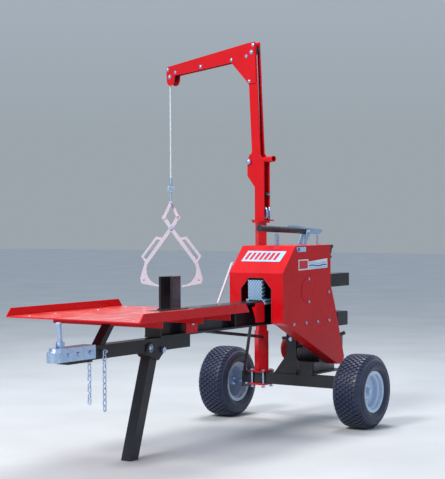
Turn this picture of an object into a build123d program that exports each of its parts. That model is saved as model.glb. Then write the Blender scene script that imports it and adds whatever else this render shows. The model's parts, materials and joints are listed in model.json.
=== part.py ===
from build123d import *
import math
import os

# Towable kinetic log splitter with a swing-up jack leg and a log-lift crane.
# Millimetres. Origin on the ground under the axle's centre, +X towards the hitch,
# +Y to the side of the belt guard, +Z up.

# ---- driving dimensions ----
tyre_r = 203.0
tyre_w = 186.0
track = 893.0
rim_half = 71.5
rim_flange_r = 114.0
bead_r = 101.6
spindle_r = 12.5
running_gap = 0.05

tube = 63.5
tube_wall = 5.0
axle_half = 314.0
axle_z = 238.75

beam_rear = -120.0
beam_front = 1294.0
beam_w = 100.0
beam_bottom = 573.0
beam_top = 703.0
flange_t = 10.0

tongue_rear = 1027.0
tongue_front = 1970.0
tongue_z = beam_bottom - tube / 2

table_rear = 1040.0
table_front = 1903.0
table_half = 400.0
table_t = 6.0
table_flange = 37.0
table_bevel = 30.0

wedge_apex = 1062.0
wedge_len = 126.0
wedge_half = 42.0
wedge_h = 165.0
wedge_t = 12.0

hood_half = 173.0
sheet = 4.0
seam_z = 587.0
guard_depth = 76.0

shaft_x = 110.0
shaft_z = 753.0
shaft_r = 15.0
flywheel_r = 178.0
module_mm = 5.0
pinion_teeth = 9
crank_x = -210.0
crank_z = 392.0
crank_pulley_r = 40.0
driven_r = 170.0
belt_y = 134.0
belt_w = 26.0

rack_half = 16.0
rack_rear = -565.0
rack_tip_z = 782.5
rack_top = 812.0
push_face = 383.0

post_y = -209.0
post_turn = -35.0
socket_w = 62.0
post_w = 50.0
socket_top = 507.0
collar_z = 1126.0
collar_t = 10.0
arm_azimuth = -104.0
mast_lean = 3.3
mast_gap = 26.0
plate_t = 5.0

ball_r = 25.9
ball_x = 2010.0
coupler_bottom = 516.0
latch_x = 1975.0
latch_z = 594.0

leg_pivot = (1272.0, 515.0)
lock_pin = (1370.0, 530.0)
leg_lean = 18.1
leg_w = 57.0
leg_reach = 530.0

tong_turn = 30.0
tong_t = 10.0

os.makedirs("parts", exist_ok=True)


def finish(builder, name):
    """Label a finished piece and write it to its own file."""
    builder.part.label = name
    export_step(builder.part, f"parts/{name}.step")


def span(x, y, z, mode=Mode.ADD):
    """A box between two limits along each axis, in the current part."""
    centre = [(a + b) / 2 for a, b in (x, y, z)]
    with Locations(tuple(centre)):
        Box(x[1] - x[0], y[1] - y[0], z[1] - z[0], mode=mode)


def rod(start, end, radius, mode=Mode.ADD):
    """A round bar between two points, in the current part."""
    a, b = Vector(*start), Vector(*end)
    with BuildSketch(Plane(origin=a, z_dir=b - a)) as disc:
        Circle(radius)
    extrude(disc.sketch, amount=(b - a).length, mode=mode)


def hex_bolt(start, end, radius, head=1.8):
    """A bolt with a hexagonal head at its start and a nut near its end."""
    a, b = Vector(*start), Vector(*end)
    way = (b - a).normalized()
    rod(start, end, radius)
    for point in (a - way * radius * 1.2, b - way * radius * 1.4):
        with BuildSketch(Plane(origin=point, z_dir=way)) as hexagon:
            RegularPolygon(radius * head, 6)
        extrude(hexagon.sketch, amount=radius * 1.2)


def plate(plane, points, thickness):
    """A flat plate with a straight-sided outline on a plane, in the current part."""
    with BuildSketch(plane) as outline:
        with BuildLine():
            Polyline(*points, close=True)
        make_face()
    extrude(outline.sketch, amount=thickness)


def side_plane(y):
    """A plane across Y whose sketch axes are the model's X and Z."""
    return Plane(origin=(0, y, 0), x_dir=(1, 0, 0), z_dir=(0, -1, 0))


# ---- wheels ----
def wheel(name, side):
    """A turf tyre on a pressed rim with a welded hub."""
    centre = side * track / 2
    section = Plane(origin=(0, centre, tyre_r), x_dir=(0, side, 0), z_dir=(side, 0, 0))
    turn = Axis((0, centre, tyre_r), (0, 1, 0))
    wall = 11.0
    shoulder = tyre_w / 2 - 20
    bulge = tyre_w / 2 - 1
    bead_out = rim_half - 0.5
    bead_in = rim_half - 13.5
    with BuildPart() as tyre:
        with BuildSketch(section):
            with BuildLine():
                Line((-bead_out, bead_r + 0.1), (-bead_out, rim_flange_r + 2))
                Spline((-bead_out, rim_flange_r + 2), (-bulge, 152), (-shoulder - 8, 192))
                ThreePointArc((-shoulder - 8, 192), (-shoulder, 198), (-shoulder + 8, 201))
                ThreePointArc((-shoulder + 8, 201), (0, tyre_r), (shoulder - 8, 201))
                ThreePointArc((shoulder - 8, 201), (shoulder, 198), (shoulder + 8, 192))
                Spline((shoulder + 8, 192), (bulge, 152), (bead_out, rim_flange_r + 2))
                Line((bead_out, rim_flange_r + 2), (bead_out, bead_r + 0.1))
                Line((bead_out, bead_r + 0.1), (bead_in, bead_r + 0.1))
                Spline((bead_in, bead_r + 0.1), (bulge - wall, 150), (shoulder - 4, 192 - wall))
                Line((shoulder - 4, 192 - wall), (-shoulder + 4, 192 - wall))
                Spline((-shoulder + 4, 192 - wall), (-bulge + wall, 150), (-bead_in, bead_r + 0.1))
                Line((-bead_in, bead_r + 0.1), (-bead_out, bead_r + 0.1))
            make_face()
        revolve(axis=turn)
    finish(tyre, f"tyre_{name}")

    with BuildPart() as rim:
        with BuildSketch(section):
            with BuildLine():
                Polyline(
                    (-75, rim_flange_r), (-rim_half, rim_flange_r), (-rim_half, bead_r),
                    (-52, bead_r), (-46, 92), (46, 92), (52, bead_r), (rim_half, bead_r),
                    (rim_half, rim_flange_r), (75, rim_flange_r), (75, 98), (55, 98), (49, 88),
                    (24, 88), (24, 52), (34, 40), (34, 21), (42, 21),
                    (42, spindle_r + running_gap), (-40, spindle_r + running_gap), (-40, 21),
                    (29, 21), (29, 38), (19, 50), (19, 88), (-49, 88), (-55, 98), (-75, 98),
                    close=True,
                )
            make_face()
        revolve(axis=turn)
    finish(rim, f"rim_{name}")


wheel("left", -1)
wheel("right", 1)

with BuildPart() as spindle_shafts:
    for side in (-1, 1):
        inner = side * axle_half
        hub_in = side * (track / 2 - 40)
        hub_out = side * (track / 2 + 42)
        rod((0, inner, tyre_r), (0, hub_out + side * 12, tyre_r), spindle_r)
        rod((0, hub_in - side * 6, tyre_r), (0, hub_in - side * 1, tyre_r), 20)
        with BuildSketch(Plane(origin=(0, hub_out + side * 1, tyre_r), z_dir=(0, side, 0))):
            RegularPolygon(18, 6)
        extrude(amount=9)
finish(spindle_shafts, "spindle_shafts")

with BuildPart() as axle_tube:
    half = tube / 2
    span((-half, half), (-axle_half, axle_half), (axle_z - half, axle_z + half))
    inside = half - tube_wall
    span((-inside, inside), (-axle_half, axle_half), (axle_z - inside, axle_z + inside), Mode.SUBTRACT)
    for side in (-1, 1):
        ends = sorted((side * axle_half, side * (axle_half + 8)))
        span((-36, 36), ends, (180, axle_z + half + 2))
        rod((0, ends[0], tyre_r), (0, ends[1], tyre_r), spindle_r, Mode.SUBTRACT)
finish(axle_tube, "axle_tube")

# ---- beam, tongue and their fixings ----
with BuildPart() as main_beam:
    length = (beam_rear, beam_front)
    half = beam_w / 2
    span(length, (-half, half), (beam_bottom, beam_bottom + flange_t))
    span(length, (-half, half), (beam_top - flange_t, beam_top))
    span(length, (-5, 5), (beam_bottom + flange_t, beam_top - flange_t))
    for x in (beam_front - 8, 640):
        span((x, x + 8), (-half + 2, half - 2), (beam_bottom + flange_t, beam_top - flange_t))
finish(main_beam, "main_beam")

with BuildPart() as tongue_tube:
    half = tube / 2
    inside = half - tube_wall
    length = (tongue_rear, tongue_front)
    span(length, (-half, half), (tongue_z - half, tongue_z + half))
    span(length, (-inside, inside), (tongue_z - inside, tongue_z + inside), Mode.SUBTRACT)
    span((1790, 1960), (-34, 34), (tongue_z - half - 7, tongue_z - half))
finish(tongue_tube, "tongue_tube")

with BuildPart() as hitch_coupler:
    cheek = 36.5
    nose_r = 38.0
    top = tongue_z + tube / 2 + 0.5
    skirt = (coupler_bottom, top + 5)
    for side in (-1, 1):
        edge = sorted((side * 32.5, side * cheek))
        span((1771, ball_x - 20), edge, skirt)
    span((1771, ball_x - 20), (-cheek, cheek), (top, top + 5))
    for side in (-1, 1):
        ear = sorted((side * 10.5, side * 15))
        span((latch_x - 14, latch_x + 14), ear, (top, latch_z + 12))
    rod((latch_x, -15, latch_z), (latch_x, 15, latch_z), 4.05, Mode.SUBTRACT)
    span((tongue_front + 4, ball_x), (-cheek, cheek), skirt)
    with BuildSketch(Plane.XY.offset(coupler_bottom)):
        with Locations((ball_x, 0)):
            Circle(nose_r)
    extrude(amount=46)
    with BuildSketch(Plane.XY.offset(coupler_bottom + 46)):
        with Locations((ball_x - 6, 0)):
            Circle(nose_r - 6)
    extrude(amount=16, taper=20)
    with Locations((ball_x, 0, coupler_bottom + 16)):
        Sphere(ball_r, mode=Mode.SUBTRACT)
    with BuildSketch(Plane.XY.offset(coupler_bottom)):
        with Locations((ball_x, 0)):
            Circle(ball_r)
    extrude(amount=16, mode=Mode.SUBTRACT)
finish(hitch_coupler, "hitch_coupler")

with BuildPart() as coupler_latch:
    body = [(-10, -8), (10, -8), (12, 4), (8, 12), (14, 96), (2, 99), (-8, 14), (-12, 4)]
    outline = [(latch_x + x, latch_z + z) for x, z in body]
    plate(side_plane(9), outline, 18)
    rod((latch_x, -18, latch_z), (latch_x, 18, latch_z), 4)
    rod((latch_x + 8, -11, latch_z + 94), (latch_x + 8, 11, latch_z + 94), 7)
finish(coupler_latch, "coupler_latch")

with BuildPart() as tongue_brace:
    strut_top = (1600, 690)
    strut_foot = (1690, tongue_z + tube / 2)
    outline = [
        strut_foot, (strut_foot[0] + 38, strut_foot[1]), (strut_top[0] + 30, strut_top[1]),
        (strut_top[0] + 30, strut_top[1] + 7), (strut_top[0] - 34, strut_top[1] + 7),
        (strut_top[0] - 34, strut_top[1]), (strut_top[0] - 8, strut_top[1]),
    ]
    plate(side_plane(25), outline, 50)
finish(tongue_brace, "tongue_brace")

# ---- table, its supports and the wedge ----
with BuildPart() as work_table:
    under = beam_top - table_t
    span((table_rear, table_front), (-table_half, table_half), (under, beam_top))
    span((table_rear, beam_front + 3), (-beam_w / 2 - 2, beam_w / 2 + 2), (under, beam_top), Mode.SUBTRACT)
    rim_top = beam_top + table_flange
    outline = [
        (table_rear, under), (table_front, under), (table_front, beam_top),
        (table_front - table_bevel, rim_top), (table_rear + table_bevel, rim_top),
        (table_rear, beam_top),
    ]
    plate(side_plane(table_half), outline, table_t)
    plate(side_plane(-table_half + table_t), outline, table_t)
finish(work_table, "work_table")

with BuildPart() as table_supports:
    under = beam_top - table_t
    web_top = 680.0
    for side in (-1, 1):
        inner = side * (beam_w / 2 + 0.5)
        outer = side * (beam_w / 2 + 8.5)
        span((999, 1096), sorted((inner, outer)), (582, under))
        span((1096, 1285), sorted((inner, outer)), (under - 40, under))
        wall = side * 80
        span((412, 492), sorted((wall, wall - side * 6)), (595, 700))
        # the webs stay below the push plate's slippers
        span((412, 418), sorted((inner, wall - side * 6)), (595, web_top))
        plate(Plane.YZ.offset(486), [(inner, web_top), (wall, web_top), (wall, 603)], 6)
    for x in (1100, 1330, 1645):
        span((x, x + 6), (-330, -52 if x < beam_front else 0), (under - 40, under))
        span((x, x + 6), (52 if x < beam_front else 0, 330), (under - 40, under))
finish(table_supports, "table_supports")

with BuildPart() as wedge:
    outline = [
        (wedge_apex, 0), (wedge_apex + wedge_len, wedge_half),
        (wedge_apex + wedge_len, wedge_half - wedge_t * 1.06),
        (wedge_apex + 4 * wedge_t * 0.85, 0),
        (wedge_apex + wedge_len, -wedge_half + wedge_t * 1.06),
        (wedge_apex + wedge_len, -wedge_half),
    ]
    plate(Plane.XY.offset(beam_top + 4), outline, wedge_h - 4)
    span((wedge_apex, wedge_apex + wedge_len + 10), (-48, 48), (beam_top, beam_top + 4))
finish(wedge, "wedge")

# ---- jack leg ----
lean = math.radians(leg_lean)
leg_plane = Plane(
    origin=(leg_pivot[0], 0, leg_pivot[1]),
    x_dir=(math.cos(lean), 0, math.sin(lean)),
    z_dir=(math.sin(lean), 0, -math.cos(lean)),
)
# in leg_plane, x is the offset ahead of the pivot, y is -Y or +Y, z runs down the leg
leg_side = Plane(origin=leg_plane.origin, x_dir=leg_plane.x_dir, z_dir=(0, -1, 0))
leg_axis_offset = 40.0
with BuildPart() as jack_leg:
    with BuildSketch(leg_plane.offset(56)):
        with Locations((leg_axis_offset, 0)):
            Rectangle(leg_w, leg_w)
            Rectangle(leg_w - 8, leg_w - 8, mode=Mode.SUBTRACT)
    extrude(amount=leg_reach)
    with BuildSketch(leg_plane.offset(50)):
        with Locations((leg_axis_offset, 0)):
            Rectangle(62, 77)
    extrude(amount=6)
    ear = [(-24, -4), (-18, 20), (0, 26), (90, 14), (118, -2), (118, -36), (71, -56), (9, -56)]
    for side in (-1, 1):
        near = side * 32.3
        ear_origin = leg_side.origin + Vector(0, near, 0)
        for_side = Plane(origin=ear_origin, x_dir=leg_side.x_dir, z_dir=(0, side, 0))
        with BuildSketch(for_side):
            with BuildLine():
                Polyline(*[(x, -z * side) for x, z in ear], close=True)
            make_face()
        extrude(amount=6)
    with Locations((1500, 0, -200)):
        Box(600, 200, 400, mode=Mode.SUBTRACT)
    rod((leg_pivot[0], -60, leg_pivot[1]), (leg_pivot[0], 60, leg_pivot[1]), 8.05, Mode.SUBTRACT)
    rod((lock_pin[0], -60, lock_pin[1]), (lock_pin[0], 60, lock_pin[1]), 7, Mode.SUBTRACT)
finish(jack_leg, "jack_leg")

with BuildPart() as leg_lock_pins:
    # one stub each side, held in the ear and drawn clear of the tongue
    ear_in, ear_out = 32.3, 38.3
    for side in (-1, 1):
        head = side * ear_out
        rod((lock_pin[0], side * ear_in, lock_pin[1]), (lock_pin[0], head, lock_pin[1]), 6)
        with BuildSketch(Plane(origin=(lock_pin[0], head, lock_pin[1]), z_dir=(0, side, 0))):
            RegularPolygon(11, 6)
        extrude(amount=7)
finish(leg_lock_pins, "leg_lock_pins")

# ---- engine, its mount and the drive ----
with BuildPart() as engine_mount:
    rise = axle_z + tube / 2
    # the riser carries the beam above the axle
    span((22, 32), (-20, 44), (rise, beam_bottom))
    plate(Plane.YZ.offset(22), [(-20, rise), (-20, 380), (-105, rise)], 10)
    span((24, 32), (70, 146), (rise, 347))
    span((-320, 22), (-60, 140), (rise, rise + 8))
    span((-40, 22), (-20, 44), (420, 428))
finish(engine_mount, "engine_mount")

with BuildPart() as engine_block:
    low = axle_z + tube / 2 + 8
    span((-320, -90), (-52, 88), (low, 330))
    with BuildSketch(side_plane(88)):
        with Locations((crank_x, crank_z)):
            Circle(82)
    extrude(amount=140)
    with BuildSketch(side_plane(60)):
        with Locations((crank_x - 110, crank_z + 62)):
            Rectangle(120, 96, rotation=25)
    extrude(amount=88)
    for step in range(7):
        with BuildSketch(side_plane(66 - step * 15)):
            with Locations((crank_x - 112, crank_z + 64)):
                Rectangle(132, 112, rotation=25)
        extrude(amount=4)
finish(engine_block, "engine_block")

with BuildPart() as recoil_cover:
    nose_face = -170.5
    with BuildSketch(side_plane(-52.5)):
        with Locations((crank_x, crank_z)):
            Circle(92)
    extrude(amount=88)
    with BuildSketch(side_plane(-140.5)):
        with Locations((crank_x, crank_z)):
            Circle(72)
    extrude(amount=-140.5 - nose_face)
    fillet(recoil_cover.edges().filter_by(GeomType.CIRCLE).group_by(Axis.Y)[0], 10)
    # the dished centre that the starter's handle sits in
    with Locations((crank_x, nose_face, crank_z)):
        Cylinder(28, 16, rotation=(90, 0, 0), mode=Mode.SUBTRACT)
finish(recoil_cover, "recoil_cover")

with BuildPart() as fuel_tank:
    span((-330, -150), (-150, -20), (515, 572))
    fillet(fuel_tank.edges().filter_by(Axis.Z), 18)
    fillet(fuel_tank.faces().sort_by(Axis.Z)[-1].edges(), 10)
    with Locations((-240, -86, 580)):
        Cylinder(22, 18)
finish(fuel_tank, "fuel_tank")

with BuildPart() as air_cleaner:
    span((-461, -345), (8, 98), (522, 604))
    fillet(air_cleaner.edges().filter_by(Axis.Y), 8)
    span((-400, -345), (20, 60), (500, 522))
finish(air_cleaner, "air_cleaner")

with BuildPart() as crank_pulley:
    rod((crank_x, 88.5, crank_z), (crank_x, 156, crank_z), 12.5)
    low, high = belt_y - belt_w / 2, belt_y + belt_w / 2
    rod((crank_x, low, crank_z), (crank_x, high, crank_z), crank_pulley_r)
    rod((crank_x, low - 4, crank_z), (crank_x, low, crank_z), crank_pulley_r + 9)
    rod((crank_x, high, crank_z), (crank_x, high + 4, crank_z), crank_pulley_r + 9)
    rod((crank_x, high, crank_z), (crank_x, high + 14, crank_z), 20)
finish(crank_pulley, "crank_pulley")

with BuildPart() as driven_pulley:
    with BuildSketch(side_plane(belt_y + belt_w / 2)):
        with Locations((shaft_x, shaft_z)):
            Circle(driven_r)
            Circle(shaft_r, mode=Mode.SUBTRACT)
            with PolarLocations(100, 5):
                Circle(34, mode=Mode.SUBTRACT)
    extrude(amount=belt_w)
finish(driven_pulley, "driven_pulley")

with BuildPart() as drive_belt:
    gap = 0.4
    thick = 5.0
    distance = math.hypot(shaft_x - crank_x, shaft_z - crank_z)
    heading = math.degrees(math.atan2(shaft_z - crank_z, shaft_x - crank_x))
    belt_plane = Plane(
        origin=(crank_x, belt_y, crank_z),
        x_dir=(math.cos(math.radians(heading)), 0, math.sin(math.radians(heading))),
        z_dir=(0, -1, 0),
    )
    for extra, mode in ((gap + thick, Mode.ADD), (gap, Mode.SUBTRACT)):
        small, large = crank_pulley_r + extra, driven_r + extra
        tilt = math.acos((large - small) / distance)
        # tangent points of the straight runs, seen with the large pulley ahead
        c, s = -math.cos(tilt), math.sin(tilt)
        with BuildSketch(belt_plane):
            with BuildLine():
                ThreePointArc((small * c, small * s), (-small, 0), (small * c, -small * s))
                Line((small * c, -small * s), (distance + large * c, -large * s))
                ThreePointArc(
                    (distance + large * c, -large * s), (distance + large, 0),
                    (distance + large * c, large * s),
                )
                Line((distance + large * c, large * s), (small * c, small * s))
            make_face()
        extrude(amount=belt_w / 2 - 1, both=True, mode=mode)
finish(drive_belt, "drive_belt")

with BuildPart() as flywheel_shaft:
    rod((shaft_x, -125, shaft_z), (shaft_x, 158, shaft_z), shaft_r)
finish(flywheel_shaft, "flywheel_shaft")

with BuildPart() as flywheels:
    for face in (102, -62):
        with BuildSketch(side_plane(face)):
            with Locations((shaft_x, shaft_z)):
                Circle(flywheel_r)
                Circle(shaft_r, mode=Mode.SUBTRACT)
        extrude(amount=40)
finish(flywheels, "flywheels")

with BuildPart() as pinion:
    pitch_r = module_mm * pinion_teeth / 2
    tip_r = pitch_r + module_mm
    root_r = pitch_r - 1.25 * module_mm
    with BuildSketch(side_plane(rack_half + 4)):
        with Locations((shaft_x, shaft_z)):
            Circle(root_r)
            Circle(shaft_r, mode=Mode.SUBTRACT)
        with Locations((shaft_x, shaft_z)):
            with PolarLocations(0, pinion_teeth, start_angle=90):
                Polygon(
                    (root_r - 1, -5), (tip_r, -1.6), (tip_r, 1.6), (root_r - 1, 5), align=None
                )
    extrude(amount=2 * rack_half + 8)
finish(pinion, "pinion")

with BuildPart() as bearing_blocks:
    for side in (-1, 1):
        outer = side * 54
        with BuildSketch(side_plane(max(outer, outer - side * 18))):
            with BuildLine():
                Polyline((60, beam_top), (160, beam_top), (150, shaft_z + 20), (128, shaft_z + 36))
                Polyline((128, shaft_z + 36), (92, shaft_z + 36), (70, shaft_z + 20), (60, beam_top))
            make_face()
            with Locations((shaft_x, shaft_z)):
                Circle(shaft_r + running_gap, mode=Mode.SUBTRACT)
        extrude(amount=18)
finish(bearing_blocks, "bearing_blocks")

# ---- rack, push plate and tunnel ----
with BuildPart() as gear_rack:
    pitch = math.pi * module_mm
    depth = 2.25 * module_mm
    span((rack_rear, push_face - 40), (-rack_half, rack_half), (rack_tip_z + depth, rack_top))
    toothed = (rack_rear + 30, 230)
    count = int((toothed[1] - toothed[0]) / pitch)
    with BuildSketch(side_plane(rack_half)):
        for n in range(count):
            x = toothed[0] + n * pitch
            with BuildLine():
                Polyline(
                    (x, rack_tip_z + depth + 1), (x + 3.0, rack_tip_z),
                    (x + 6.9, rack_tip_z), (x + 9.9, rack_tip_z + depth + 1), close=True,
                )
            make_face()
    extrude(amount=2 * rack_half)
finish(gear_rack, "gear_rack")

with BuildPart() as push_plate:
    span((push_face - 18, push_face), (-44, 44), (710, 817))
    span((push_face - 90, push_face - 18), (-10, 10), (712, 780))
    span((push_face - 130, push_face - 18), (-40, 40), (beam_top + 0.3, beam_top + 9))
    span((push_face - 40, push_face - 18), (-rack_half, rack_half), (780, rack_top))
    for side in (-1, 1):
        slipper = (push_face - 130, push_face - 6)
        span(slipper, sorted((side * 40, side * 62)), (beam_top + 0.3, beam_top + 9))
        span(slipper, sorted((side * 50.5, side * 62)), (684, beam_top + 0.3))
finish(push_plate, "push_plate")

with BuildPart() as rack_tunnel:
    span((-585, -70), (-38, 38), (747, 823))
    span((-586, -69), (-34, 34), (751, 819), Mode.SUBTRACT)
    span((-322, -290), (-9, 9), (810, 830), Mode.SUBTRACT)
    for x in (-110, -80):
        span((x, x + 8), (-30, 30), (beam_top, 747))
finish(rack_tunnel, "rack_tunnel")

# ---- hood and belt guard ----
hood_side = [
    (242, 1001), (373, 855), (373, seam_z), (-207, seam_z), (-182, 660), (-137, 773), (-133, 1001),
]
hood_inner = [
    (242 - 2, 1001 - sheet), (373 - sheet, 855 - 2), (373 - sheet, seam_z - 1),
    (-207 + sheet, seam_z - 1), (-182 + sheet + 0.5, 660), (-137 + sheet, 773 + 0.5),
    (-133 + sheet, 1001 - sheet),
]
with BuildPart() as hood_shell:
    plate(side_plane(hood_half), hood_side, 2 * hood_half)
    with BuildSketch(side_plane(hood_half - sheet)):
        with BuildLine():
            Polyline(*hood_inner, close=True)
        make_face()
    extrude(amount=2 * (hood_half - sheet), mode=Mode.SUBTRACT)
    door = [(-98, 580), (-98, 770), (-46, 829), (46, 829), (98, 770), (98, 580)]
    with BuildSketch(Plane.YZ.offset(360)):
        with BuildLine():
            Polyline(*door, close=True)
        make_face()
    extrude(amount=30, mode=Mode.SUBTRACT)
    span((-150, -120), (-42, 42), (743, 827), Mode.SUBTRACT)
    with BuildSketch(side_plane(hood_half + 1)):
        with Locations((shaft_x, shaft_z)):
            Circle(60)
    extrude(amount=6, mode=Mode.SUBTRACT)
finish(hood_shell, "hood_shell")

with BuildPart() as belt_guard:
    outline = [(369, seam_z - 0.3), (321, 569), (-214, 316), (-250, 314), (-278, 330), (-285, 357)]
    outline.append((-207, seam_z - 0.3))
    plate(side_plane(hood_half), outline, guard_depth)
    keep = [(362, seam_z + 1), (318, 574), (-214, 321), (-249, 319), (-274, 333), (-280, 357)]
    keep.append((-202, seam_z + 1))
    with BuildSketch(side_plane(hood_half - sheet)):
        with BuildLine():
            Polyline(*keep, close=True)
        make_face()
    extrude(amount=guard_depth, mode=Mode.SUBTRACT)
finish(belt_guard, "belt_guard")

with BuildPart() as access_cover:
    with BuildSketch(side_plane(hood_half + 2)):
        with Locations((shaft_x, shaft_z)):
            Circle(72)
    extrude(amount=2)
finish(access_cover, "access_cover")

with BuildPart() as hood_bolts:
    for x, z in ((264, 574), (136, 574), (12, 574), (-112, 574), (-111, 734)):
        with BuildSketch(side_plane(hood_half + 5)):
            with Locations((x, z)):
                RegularPolygon(9, 6)
        extrude(amount=5)
    for dz in (-63, 63):
        with BuildSketch(side_plane(hood_half + 7)):
            with Locations((shaft_x, shaft_z + dz)):
                RegularPolygon(9, 6)
        extrude(amount=5)
finish(hood_bolts, "hood_bolts")

# ---- control lever on top of the hood ----
lever_pivot = (-158.0, 1072.0)
link_x = -306.0
with BuildPart() as lever_brackets:
    for side in (-1, 1):
        y = sorted((side * 17, side * 13))
        plate(
            side_plane(y[1]),
            [(-133, 1001), (-90, 1001), (-145, 1084), (-170, 1084), (-172, 1060), (-133, 1010)],
            y[1] - y[0],
        )
    span((-133, -90), (-17, 17), (1001, 1004))
    rod((lever_pivot[0], -20, lever_pivot[1]), (lever_pivot[0], 20, lever_pivot[1]), 5)
    span((150, 166), (-9, 9), (1001, 1067))
    span((140, 176), (-16, 16), (1001, 1004))
finish(lever_brackets, "lever_brackets")

with BuildPart() as control_lever:
    rod((-60, 0, 1082), (330, 0, 1098), 17)
    rod((330, 0, 1098), (338, 0, 1098.3), 19)
    plate(side_plane(5), [(-176, 1058), (-40, 1066), (-40, 1096), (-170, 1086)], 10)
    rod((lever_pivot[0], -20, lever_pivot[1]), (lever_pivot[0], 20, lever_pivot[1]), 5.05, Mode.SUBTRACT)
finish(control_lever, "control_lever")

with BuildPart() as lever_tail:
    plate(
        side_plane(-5),
        [(-346, 1072), (-300, 1056), (-150, 1064), (-60, 1090), (42, 1098), (42, 1112), (-60, 1110),
         (-200, 1094), (-350, 1084)],
        6,
    )
    rod((lever_pivot[0], -20, lever_pivot[1]), (lever_pivot[0], 20, lever_pivot[1]), 5.05, Mode.SUBTRACT)
    rod((link_x, -26, 1068), (link_x, -11, 1068), 6)
    rod((link_x, -26, 1068), (link_x, -23, 1068), 12)
finish(lever_tail, "lever_tail")

with BuildPart() as lever_link:
    with BuildSketch(side_plane(-12)):
        with Locations((link_x, 1068)):
            Circle(13)
            Circle(6.05, mode=Mode.SUBTRACT)
    extrude(amount=8)
    span((link_x - 5, link_x + 5), (-20, -12), (1000, 1056))
    span((link_x - 5, link_x + 5), (-20, 5), (992, 1000))
    rod((link_x, 0, 992), (link_x, 0, 855), 5)
finish(lever_link, "lever_link")

# ---- crane post on the axle ----
with BuildPart() as post_clamp:
    top = axle_z + tube / 2
    low = axle_z - tube / 2
    span((-52, 52), (post_y - 52, post_y + 52), (top, top + 9))
    span((-52, 52), (post_y - 52, post_y + 52), (low - 9, low))
finish(post_clamp, "post_clamp")

post_plane = Plane.XY.rotated((0, 0, post_turn))
with BuildPart() as crane_post:
    base = axle_z + tube / 2 + 9
    centre = post_plane.to_local_coords(Vector(0, post_y, 0))
    for width, hollow, low, high in (
        (socket_w, socket_w - 10, base, socket_top), (post_w, post_w - 8, base + 30, collar_z),
    ):
        with BuildSketch(post_plane.offset(low)):
            with Locations((centre.X, centre.Y)):
                Rectangle(width, width)
                Rectangle(hollow, hollow, mode=Mode.SUBTRACT)
        extrude(amount=high - low)
    with BuildSketch(post_plane.offset(collar_z)):
        with Locations((centre.X, centre.Y)):
            Rectangle(78, 78)
    extrude(amount=collar_t)
    rod((0, post_y, collar_z + collar_t), (0, post_y, collar_z + 60), 12)
finish(crane_post, "crane_post")

# ---- crane: a lower mast that swivels, and an upper mast with the arm that folds ----
azimuth = math.radians(arm_azimuth)
reach = Vector(math.cos(azimuth), math.sin(azimuth), 0)
across = Vector(math.sin(azimuth), -math.cos(azimuth), 0)
collar_top = collar_z + collar_t
mast_plane = Plane(origin=(0, post_y, collar_top), x_dir=reach, z_dir=across)
# in mast_plane, x is the reach towards the arm, y is the height above the collar
fold = (68.0, 344.0)
half_gap = mast_gap / 2
with BuildPart() as mast_lower:
    outline = [
        (-52, 8), (26, 8), (26, 196), (88, 261), (88, 354), (68, 384), (-14, 386), (-52, 344),
    ]
    for offset in (half_gap + plate_t + 0.5, -half_gap - 2 * plate_t - 0.5):
        plate(mast_plane.offset(offset), outline, plate_t)
    outer = half_gap + 2 * plate_t + 0.5
    plate(mast_plane.offset(-outer), [(21, 8), (26, 8), (26, 186), (21, 186)], 2 * outer)
    with BuildSketch(Plane(origin=(0, post_y, collar_top + 0.3), x_dir=reach, z_dir=(0, 0, 1))):
        with Locations((-13, 0)):
            Rectangle(100, 84)
        Circle(12 + running_gap, mode=Mode.SUBTRACT)
    extrude(amount=7.7)
    with BuildSketch(Plane(origin=(0, post_y, collar_top + 8), x_dir=reach, z_dir=(0, 0, 1))):
        Circle(half_gap + 5)
        Circle(12 + running_gap, mode=Mode.SUBTRACT)
    extrude(amount=48)
    with BuildSketch(mast_plane.offset(-half_gap - 16)):
        with Locations(fold):
            Circle(8)
    extrude(amount=2 * (half_gap + 16))
    with BuildSketch(mast_plane.offset(half_gap + 2 * plate_t + 0.5)):
        with Locations(fold):
            RegularPolygon(14, 6)
    extrude(amount=9)
finish(mast_lower, "mast_lower")

lean_a = math.radians(mast_lean)
lean_reach = reach * math.cos(lean_a) - Vector(0, 0, 1) * math.sin(lean_a)
fold_point = mast_plane.from_local_coords(Vector(fold[0], fold[1], 0))
upper_plane = Plane(origin=fold_point, x_dir=lean_reach, z_dir=across)
# in upper_plane, the origin is the fold bolt, x leans with the arm and y with the mast
mast_back, mast_front = -87.0, -17.0
mast_top = 676.0
# the arm, and the rounded cheek that hangs below its tip round the rope wheel
arm_back = mast_back + 4
arm_foot, arm_head, arm_low = 446.0, 682.0, 592.0
sheave = (691.0, 584.0)
with BuildPart() as mast_upper:
    outline = [
        (mast_back, -20), (16, -20), (16, 22), (mast_front, 52), (mast_front, mast_top),
        (mast_back, mast_top),
    ]
    for offset in (half_gap, -half_gap - plate_t):
        plate(upper_plane.offset(offset), outline, plate_t)
    web = [(mast_front - 5, 60), (mast_front, 60), (mast_front, mast_top), (mast_front - 5, mast_top)]
    plate(upper_plane.offset(-half_gap), web, mast_gap)
    tail = [(-78, -188), (-52, -188), (-52, 10), (-78, 10)]
    plate(upper_plane.offset(-half_gap), tail, mast_gap)
    with BuildSketch(upper_plane.offset(-20)):
        Circle(8 + running_gap)
    extrude(amount=40, mode=Mode.SUBTRACT)
    stub = upper_plane.from_local_coords(Vector(mast_back, 0, 0))
    rod(tuple(stub + lean_reach * 20), tuple(stub - lean_reach * 92), 17.5)
    rod(tuple(stub), tuple(stub - lean_reach * 95), 13, Mode.SUBTRACT)
finish(mast_upper, "mast_upper")

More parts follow.
